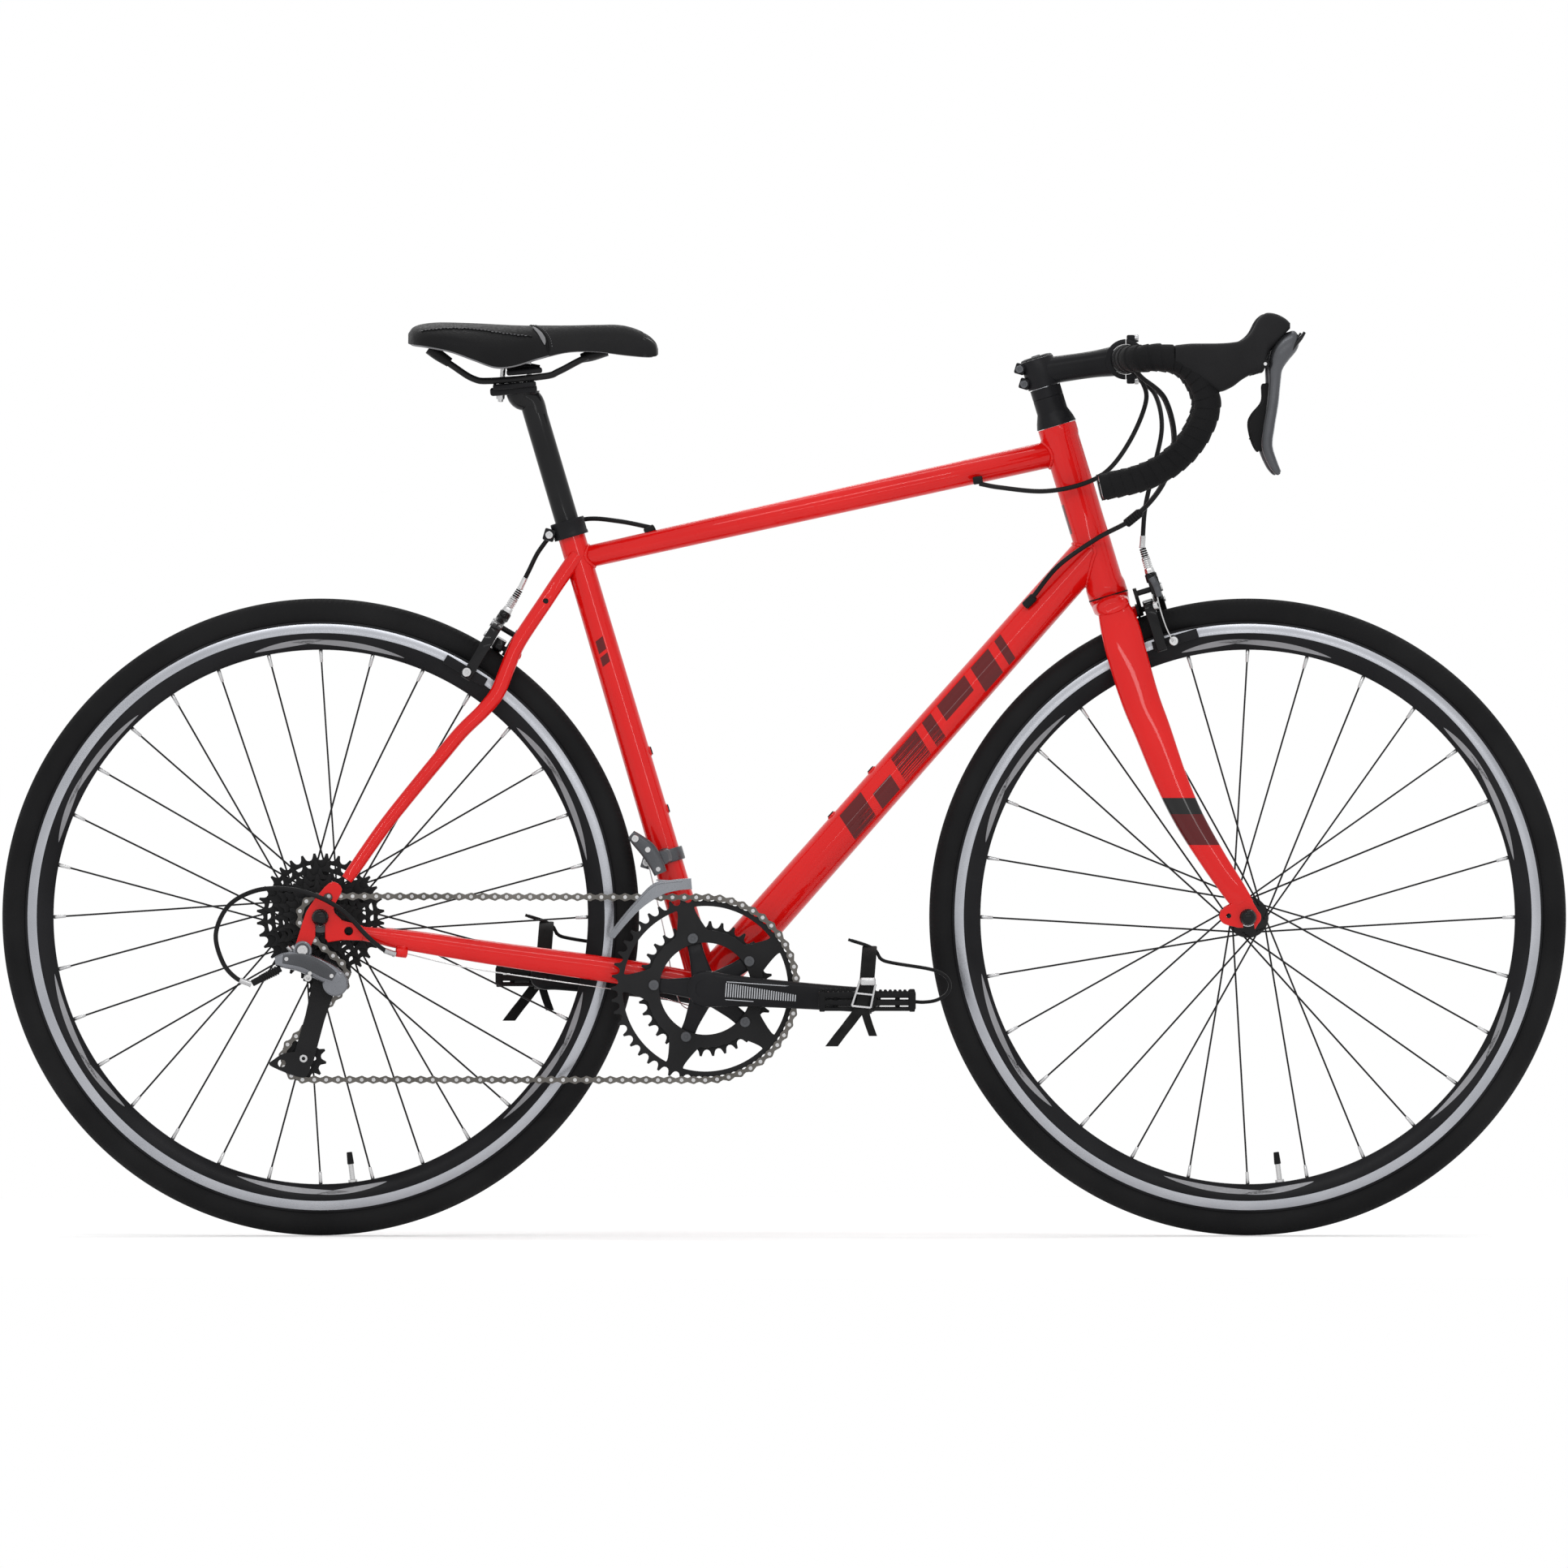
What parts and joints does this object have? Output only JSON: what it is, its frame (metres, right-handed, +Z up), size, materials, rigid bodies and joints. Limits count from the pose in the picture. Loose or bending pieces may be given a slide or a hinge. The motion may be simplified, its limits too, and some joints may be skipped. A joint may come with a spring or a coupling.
{
  "type": "road bicycle",
  "caption": "Road bicycle with a drop handlebar, caliper brakes, a double crankset and pedals with toe clips.",
  "frame": {"origin": "on the ground, midway between the wheel axles, in the plane of the wheels", "axes": "+X forwards, +Y to the rider's left, +Z up"},
  "size_m": [1.6644, 0.4536, 0.9815],
  "materials": {
    "frame_paint": "gloss clear-coated red",
    "black_alloy": "black anodised, satin",
    "black_steel": "black finish, satin",
    "silver": "polished silver",
    "tyre_rubber": "matt rubber with fine tread",
    "grip_rubber": "matt soft rubber",
    "bar_tape": "wrapped cork-style tape, matt",
    "saddle_cover": "synthetic leather, satin",
    "black_plastic": "moulded resin",
    "chain_steel": "bare steel",
    "cable_housing": "extruded housing"
  },
  "bodies": {
    "frame": {"head_tube": "frame_paint", "top_tube": "frame_paint", "down_tube": "frame_paint", "seat_tube": "frame_paint", "chainstay_right": "frame_paint", "chainstay_left": "frame_paint", "seatstays": "frame_paint", "seatpost_clamp": "black_alloy", "bottom_bracket": "black_steel", "front_derailleur": "silver", "rear_derailleur": "silver", "rear_axle": "black_alloy", "chain": "chain_steel", "rear_brake_housing_front": "cable_housing", "rear_brake_housing_rear": "cable_housing", "shift_housing_right": "cable_housing", "shift_housing_left": "cable_housing", "rear_derailleur_housing": "cable_housing"},
    "seat": {"seatpost": "black_alloy", "saddle_rails": "black_steel", "saddle": "saddle_cover"},
    "steering": {"fork": "frame_paint", "headset_cover": "black_alloy", "stem": "black_alloy", "stem_faceplate": "black_alloy", "handlebar": "black_alloy", "bar_tape_right": "bar_tape", "bar_tape_left": "bar_tape", "hood_right": "grip_rubber", "hood_left": "grip_rubber", "front_axle": "black_alloy", "front_brake_housing": "cable_housing"},
    "front_wheel": {"front_tyre": "tyre_rubber", "front_rim": "black_alloy", "front_hub": "black_alloy"},
    "rear_wheel": {"rear_tyre": "tyre_rubber", "rear_rim": "black_alloy", "rear_hub": "black_alloy"},
    "cassette_body": {"cassette": "black_steel"},
    "crankset": {"crank_arm_right": "black_alloy", "crank_arm_left": "black_alloy", "bb_spindle": "black_steel", "chainring_outer": "black_steel", "chainring_inner": "black_steel"},
    "pedal_right_body": {"pedal_right": "black_plastic"},
    "pedal_left_body": {"pedal_left": "black_plastic"},
    "lever_right": {"brake_lever_right": "black_alloy"},
    "lever_left": {"brake_lever_left": "black_alloy"},
    "paddle_right": {"shift_paddle_right": "black_plastic"},
    "paddle_left": {"shift_paddle_left": "black_plastic"},
    "front_brake_near": {"front_brake_arm_right": "black_alloy"},
    "front_brake_far": {"front_brake_arm_left": "black_alloy"},
    "rear_brake_near": {"rear_brake_arm_left": "black_alloy"},
    "rear_brake_far": {"rear_brake_arm_right": "black_alloy"},
    "front_lever": {"front_qr_lever": "black_alloy"},
    "rear_lever": {"rear_qr_lever": "black_alloy"},
    "cage": {"derailleur_cage": "black_steel"},
    "guide_wheel": {"guide_pulley": "black_plastic"},
    "tension_wheel": {"tension_pulley": "black_plastic"},
    "front_cage": {"front_derailleur_cage": "silver"}
  },
  "joints": [
    {"name": "steering_turn", "type": "hinge", "parent": "frame", "child": "steering", "pos_m": [0.345, 0, 0.6808], "axis": [-0.2907, 0, 0.9568], "range_deg": [-15, 15], "deforming": ["rear_brake_housing_front", "shift_housing_right", "shift_housing_left"]},
    {"name": "front_wheel_spin", "type": "hinge", "parent": "steering", "child": "front_wheel", "pos_m": [0.4932, 0, 0.339], "axis": [0, 1, 0], "continuous": true},
    {"name": "rear_wheel_spin", "type": "hinge", "parent": "frame", "child": "rear_wheel", "pos_m": [-0.4932, 0, 0.339], "axis": [0, 1, 0], "continuous": true},
    {"name": "crank_spin", "type": "hinge", "parent": "frame", "child": "crankset", "pos_m": [-0.0838, 0, 0.263], "axis": [0, 1, 0], "continuous": true},
    {"name": "cassette_spin", "type": "hinge", "parent": "frame", "child": "cassette_body", "pos_m": [-0.4932, 0, 0.339], "axis": [0, 1, 0], "continuous": true},
    {"name": "pedal_right_spin", "type": "hinge", "parent": "crankset", "child": "pedal_right_body", "pos_m": [0.08828, -0.126, 0.25097], "axis": [0, 1, 0], "continuous": true},
    {"name": "pedal_left_spin", "type": "hinge", "parent": "crankset", "child": "pedal_left_body", "pos_m": [-0.25588, 0.126, 0.27503], "axis": [0, 1, 0], "continuous": true},
    {"name": "brake_lever_right_pull", "type": "hinge", "parent": "steering", "child": "lever_right", "pos_m": [0.5101, -0.21, 0.9272], "axis": [0, 1, 0], "range_deg": [0, 20], "stiffness_Nm_per_rad": 0.6},
    {"name": "brake_lever_left_pull", "type": "hinge", "parent": "steering", "child": "lever_left", "pos_m": [0.5101, 0.21, 0.9272], "axis": [0, 1, 0], "range_deg": [0, 20], "stiffness_Nm_per_rad": 0.6},
    {"name": "shift_paddle_right_push", "type": "hinge", "parent": "lever_right", "child": "paddle_right", "pos_m": [0.5125, -0.1995, 0.906], "axis": [1, 0, 0], "range_deg": [0, 18], "stiffness_Nm_per_rad": 0.05},
    {"name": "shift_paddle_left_push", "type": "hinge", "parent": "lever_left", "child": "paddle_left", "pos_m": [0.5125, 0.1995, 0.906], "axis": [-1, 0, 0], "range_deg": [0, 18], "stiffness_Nm_per_rad": 0.05},
    {"name": "front_brake_near_close", "type": "hinge", "parent": "steering", "child": "front_brake_near", "pos_m": [0.3869, 0, 0.668], "axis": [0.9568, 0, 0.2907], "range_deg": [0, 1.5]},
    {"name": "front_brake_far_close", "type": "hinge", "parent": "steering", "child": "front_brake_far", "pos_m": [0.38167, -0.022, 0.68522], "axis": [-0.9568, 0, -0.2907], "range_deg": [0, 1.5]},
    {"name": "rear_brake_near_close", "type": "hinge", "parent": "frame", "child": "rear_brake_near", "pos_m": [-0.3026, 0, 0.627], "axis": [-0.8568, 0, 0.5156], "range_deg": [0, 1.5]},
    {"name": "rear_brake_far_close", "type": "hinge", "parent": "frame", "child": "rear_brake_far", "pos_m": [-0.29332, 0.022, 0.64242], "axis": [0.8568, 0, -0.5156], "range_deg": [0, 1.5]},
    {"name": "front_qr_open", "type": "hinge", "parent": "steering", "child": "front_lever", "pos_m": [0.4932, 0.0701, 0.339], "axis": [-0.8838, 0, -0.4679], "range_deg": [0, 180]},
    {"name": "rear_qr_open", "type": "hinge", "parent": "frame", "child": "rear_lever", "pos_m": [-0.4932, 0.0851, 0.339], "axis": [-0.3846, 0, 0.9231], "range_deg": [0, 180]},
    {"name": "cage_swing", "type": "hinge", "parent": "frame", "child": "cage", "pos_m": [-0.477, -0.0585, 0.269], "axis": [0, 1, 0], "range_deg": [-14, 10], "stiffness_Nm_per_rad": 0.8, "deforming": ["chain"]},
    {"name": "guide_pulley_spin", "type": "hinge", "parent": "cage", "child": "guide_wheel", "pos_m": [-0.487, -0.0585, 0.275], "axis": [0, 1, 0], "continuous": true},
    {"name": "tension_pulley_spin", "type": "hinge", "parent": "cage", "child": "tension_wheel", "pos_m": [-0.511, -0.0585, 0.189], "axis": [0, 1, 0], "continuous": true},
    {"name": "front_cage_shift", "type": "slide", "parent": "frame", "child": "front_cage", "axis": [0, 1, 0], "range_m": [-0.0015, 0.0005]},
    {"name": "seatpost_slide", "type": "slide", "parent": "frame", "child": "seat", "axis": [-0.284, 0, 0.9588], "range_m": [-0.1, 0.045]}
  ],
  "couplings": [
    {"joint": "cassette_spin", "follows": "crank_spin", "ratio": 4.3636},
    {"joint": "guide_pulley_spin", "follows": "crank_spin", "ratio": -4.3636},
    {"joint": "tension_pulley_spin", "follows": "crank_spin", "ratio": 4.3636},
    {"joint": "front_brake_near_close", "follows": "brake_lever_left_pull", "ratio": 0.075},
    {"joint": "front_brake_far_close", "follows": "brake_lever_left_pull", "ratio": 0.075},
    {"joint": "rear_brake_near_close", "follows": "brake_lever_right_pull", "ratio": 0.075},
    {"joint": "rear_brake_far_close", "follows": "brake_lever_right_pull", "ratio": 0.075}
  ]
}
